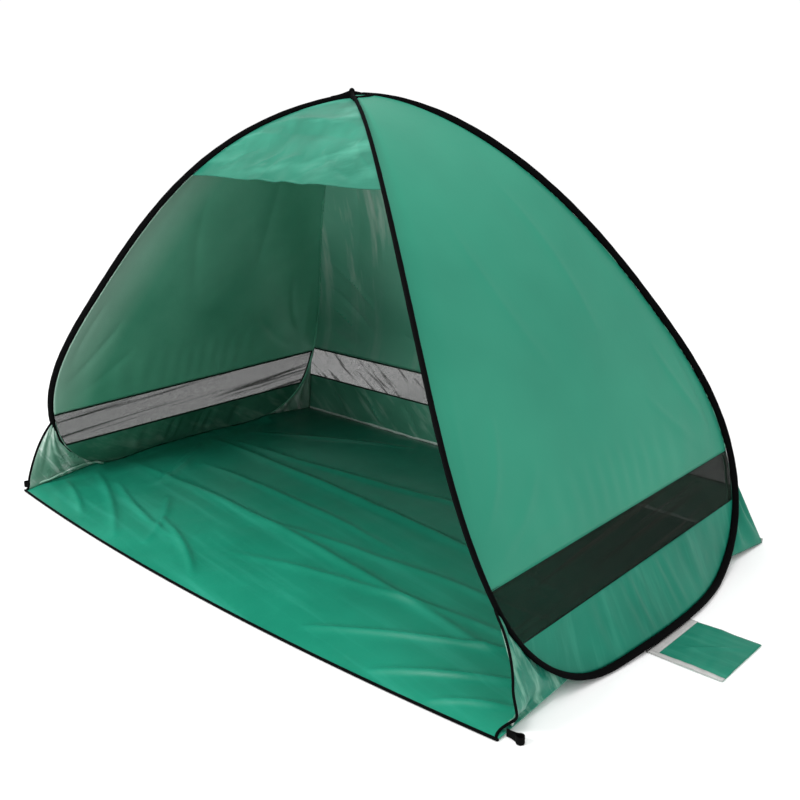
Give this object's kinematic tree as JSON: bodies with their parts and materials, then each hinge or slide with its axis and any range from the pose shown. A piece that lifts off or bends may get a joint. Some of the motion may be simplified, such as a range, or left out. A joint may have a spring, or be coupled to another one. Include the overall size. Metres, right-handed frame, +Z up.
{
  "type": "pop up tent",
  "caption": "Self-erecting beach shelter: a sprung wire figure of eight in black sleeves carries green fabric walls, a visor, mesh windows and a ground sheet, open at the front.",
  "frame": {"origin": "on the ground, under the middle of the ground sheet's width and of its depth between its corners", "axes": "+X to the right for someone looking in at the open front, +Y towards the back wall, +Z up"},
  "size_m": [2.484, 1.3538, 1.2955],
  "materials": {
    "green_cloth": "thin silver-backed polyester, soft sheen",
    "floor_cloth": "coated polyethylene-like cloth, smooth",
    "black_tape": "matt woven tape",
    "dark_tape": "matt woven tape",
    "grey_tape": "silver-grey binding",
    "black_webbing": "ribbed webbing",
    "mesh": "fine see-through netting",
    "spring_steel": "drawn spring wire"
  },
  "bodies": {
    "left_side": {"left_frame_wire": "spring_steel", "left_wire_ferrule": "spring_steel", "left_frame_sleeve": "black_tape", "left_lower_panel": "green_cloth", "left_window_lower_tape": "dark_tape", "left_mesh_window": "mesh", "left_window_upper_tape": "dark_tape", "left_upper_panel": "green_cloth", "left_front_gusset": "green_cloth", "left_front_gusset_piping": "black_tape", "left_rear_gusset": "green_cloth", "left_peg_loop": "black_webbing", "crown_wrap": "black_tape", "ground_sheet": "floor_cloth", "visor_hem": "green_cloth", "visor_panel": "green_cloth", "front_floor_piping": "black_tape", "rear_floor_piping": "grey_tape", "back_lower_panel": "green_cloth", "back_window_lower_tape": "dark_tape", "back_mesh_window": "mesh", "back_window_upper_tape": "dark_tape", "back_upper_panel": "green_cloth"},
    "right_side": {"right_frame_wire": "spring_steel", "right_wire_ferrule": "spring_steel", "right_frame_sleeve": "black_tape", "right_lower_panel": "green_cloth", "right_window_lower_tape": "dark_tape", "right_mesh_window": "mesh", "right_window_upper_tape": "dark_tape", "right_upper_panel": "green_cloth", "right_front_gusset": "green_cloth", "right_front_gusset_piping": "black_tape", "right_rear_gusset": "green_cloth", "right_peg_loop": "black_webbing"},
    "left_flap": {"left_sand_flap": "green_cloth", "left_sand_flap_hem": "grey_tape"},
    "right_flap": {"right_sand_flap": "green_cloth", "right_sand_flap_hem": "grey_tape"}
  },
  "joints": [
    {"name": "fold", "type": "hinge", "parent": "left_side", "child": "right_side", "pos_m": [0, -0.067, 1.276], "axis": [0, 1, 0], "range_deg": [0, 75], "deforming": ["ground_sheet", "front_floor_piping", "rear_floor_piping", "visor_panel", "visor_hem", "back_lower_panel", "back_window_lower_tape", "back_mesh_window", "back_window_upper_tape", "back_upper_panel"]},
    {"name": "right_flap_lift", "type": "hinge", "parent": "right_side", "child": "right_flap", "pos_m": [1.066, -0.035, 0.0005], "axis": [0, -1, 0], "range_deg": [0, 110]},
    {"name": "left_flap_lift", "type": "hinge", "parent": "left_side", "child": "left_flap", "pos_m": [-1.066, -0.035, 0.0005], "axis": [0, 1, 0], "range_deg": [0, 110]}
  ]
}
